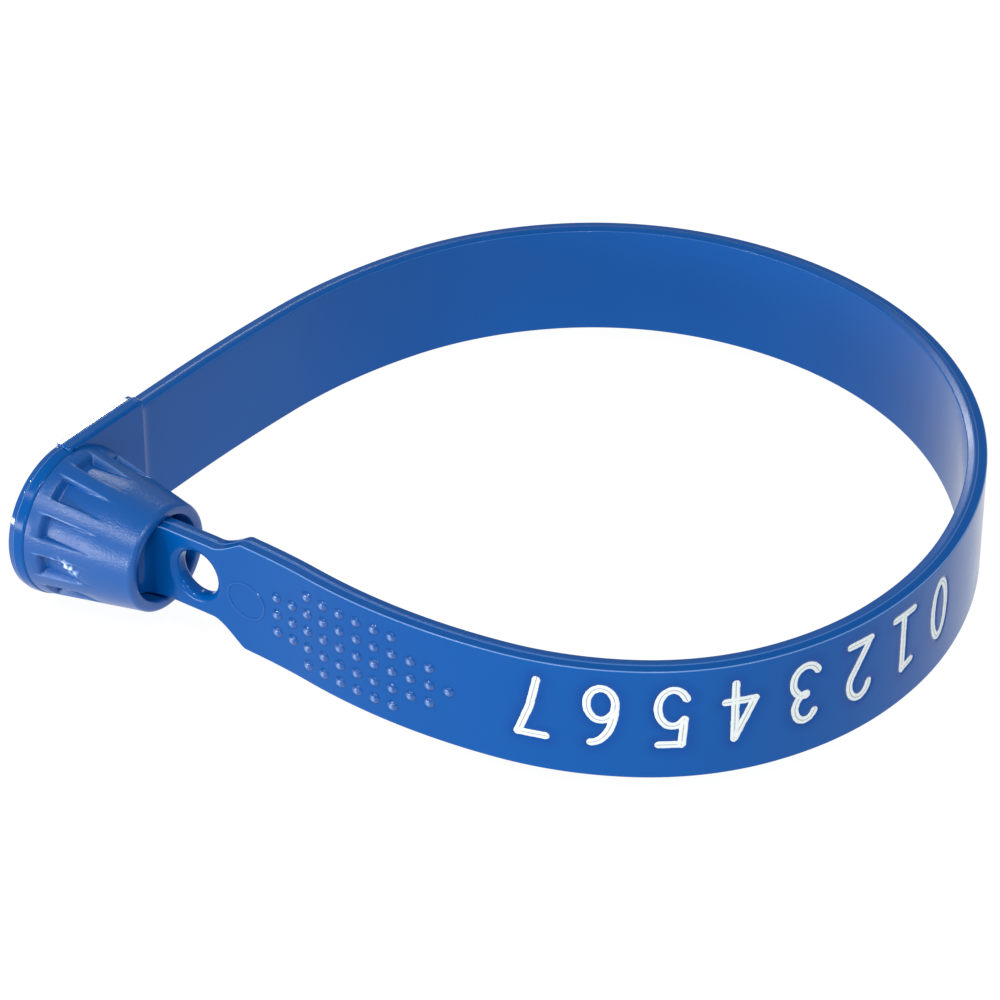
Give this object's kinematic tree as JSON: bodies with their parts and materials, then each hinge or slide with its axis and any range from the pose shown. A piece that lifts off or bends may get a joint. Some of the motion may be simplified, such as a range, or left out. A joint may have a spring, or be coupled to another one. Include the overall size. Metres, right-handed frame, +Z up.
{
  "type": "leg band",
  "caption": "Numbered plastic leg band: a flat strap looped into a ring, its eyeletted tail plugged into a fluted conical socket.",
  "frame": {"origin": "middle of the loop, half way up the strap's width", "axes": "+Z up through the loop, along the leg that it goes round; the socket is at -X and its mouth faces +X and -Y"},
  "size_m": [0.0738, 0.0632, 0.0128],
  "materials": {
    "band_blue": "semi-gloss moulded polypropylene",
    "number_white": "hot-stamped white foil",
    "ring_steel": "bright spring steel"
  },
  "bodies": {
    "head": {"socket_bell": "band_blue", "flange_plate": "band_blue", "rear_cap": "band_blue", "strap_root": "band_blue", "lock_ring": "ring_steel", "lock_fingers": "ring_steel"},
    "span_01": {"strap_span_01": "band_blue"},
    "span_02": {"strap_span_02": "band_blue"},
    "span_03": {"strap_span_03": "band_blue"},
    "span_04": {"strap_span_04": "band_blue"},
    "span_05": {"strap_span_05": "band_blue"},
    "span_06": {"strap_span_06": "band_blue"},
    "span_07": {"strap_span_07": "band_blue"},
    "span_08": {"strap_span_08": "band_blue"},
    "span_09": {"strap_span_09": "band_blue", "figure_2": "number_white", "figure_1": "number_white"},
    "span_10": {"strap_span_10": "band_blue", "figure_4": "number_white", "figure_3": "number_white"},
    "span_11": {"strap_span_11": "band_blue", "figure_6": "number_white", "figure_5": "number_white"},
    "span_12": {"strap_span_12": "band_blue", "figure_8": "number_white", "figure_7": "number_white"},
    "tail": {"grip_tab": "band_blue", "grip_dots": "band_blue", "neck_eyelet": "band_blue", "lock_plug": "band_blue"}
  },
  "joints": [
    {"name": "bend_01", "type": "hinge", "parent": "head", "child": "span_01", "pos_m": [-0.0252, 0.00319, 0], "axis": [0, 0, 1], "range_deg": [-10.05, 0]},
    {"name": "bend_02", "type": "hinge", "parent": "span_01", "child": "span_02", "pos_m": [-0.01713, 0.0135, 0], "axis": [0, 0, 1], "range_deg": [-10.05, 0]},
    {"name": "bend_03", "type": "hinge", "parent": "span_02", "child": "span_03", "pos_m": [-0.0073, 0.0221, 0], "axis": [0, 0, 1], "range_deg": [0, 2.8]},
    {"name": "bend_04", "type": "hinge", "parent": "span_03", "child": "span_04", "pos_m": [0.00494, 0.02642, 0], "axis": [0, 0, 1], "range_deg": [0, 10.05]},
    {"name": "bend_05", "type": "hinge", "parent": "span_04", "child": "span_05", "pos_m": [0.01776, 0.02455, 0], "axis": [0, 0, 1], "range_deg": [0, 10.05]},
    {"name": "bend_06", "type": "hinge", "parent": "span_05", "child": "span_06", "pos_m": [0.02833, 0.017, 0], "axis": [0, 0, 1], "range_deg": [0, 10.05]},
    {"name": "bend_07", "type": "hinge", "parent": "span_06", "child": "span_07", "pos_m": [0.03472, 0.00568, 0], "axis": [0, 0, 1], "range_deg": [0, 10]},
    {"name": "bend_08", "type": "hinge", "parent": "span_07", "child": "span_08", "pos_m": [0.03613, -0.00727, 0], "axis": [0, 0, 1], "range_deg": [0, 3.46]},
    {"name": "bend_09", "type": "hinge", "parent": "span_08", "child": "span_09", "pos_m": [0.03269, -0.01983, 0], "axis": [0, 0, 1], "range_deg": [-0.41, 0]},
    {"name": "bend_10", "type": "hinge", "parent": "span_09", "child": "span_10", "pos_m": [0.02711, -0.02779, 0], "axis": [0, 0, 1], "range_deg": [-2.14, 0]},
    {"name": "bend_11", "type": "hinge", "parent": "span_10", "child": "span_11", "pos_m": [0.01914, -0.03331, 0], "axis": [0, 0, 1], "range_deg": [-4.92, 0]},
    {"name": "bend_12", "type": "hinge", "parent": "span_11", "child": "span_12", "pos_m": [0.00963, -0.03506, 0], "axis": [0, 0, 1], "range_deg": [-9.28, 0]},
    {"name": "bend_13", "type": "hinge", "parent": "span_12", "child": "tail", "pos_m": [0.00018, -0.03283, 0], "axis": [0, 0, 1], "range_deg": [-10.05, 0], "deforming": ["lock_fingers"]}
  ],
  "couplings": [
    {"joint": "bend_01", "follows": "bend_07", "ratio": -1},
    {"joint": "bend_02", "follows": "bend_07", "ratio": -1},
    {"joint": "bend_03", "follows": "bend_07", "ratio": 0.275},
    {"joint": "bend_04", "follows": "bend_07", "ratio": 1},
    {"joint": "bend_05", "follows": "bend_07", "ratio": 1},
    {"joint": "bend_06", "follows": "bend_07", "ratio": 1},
    {"joint": "bend_08", "follows": "bend_07", "ratio": 0.341},
    {"joint": "bend_09", "follows": "bend_07", "ratio": -0.036},
    {"joint": "bend_10", "follows": "bend_07", "ratio": -0.209},
    {"joint": "bend_11", "follows": "bend_07", "ratio": -0.487},
    {"joint": "bend_12", "follows": "bend_07", "ratio": -0.923},
    {"joint": "bend_13", "follows": "bend_07", "ratio": -1}
  ]
}
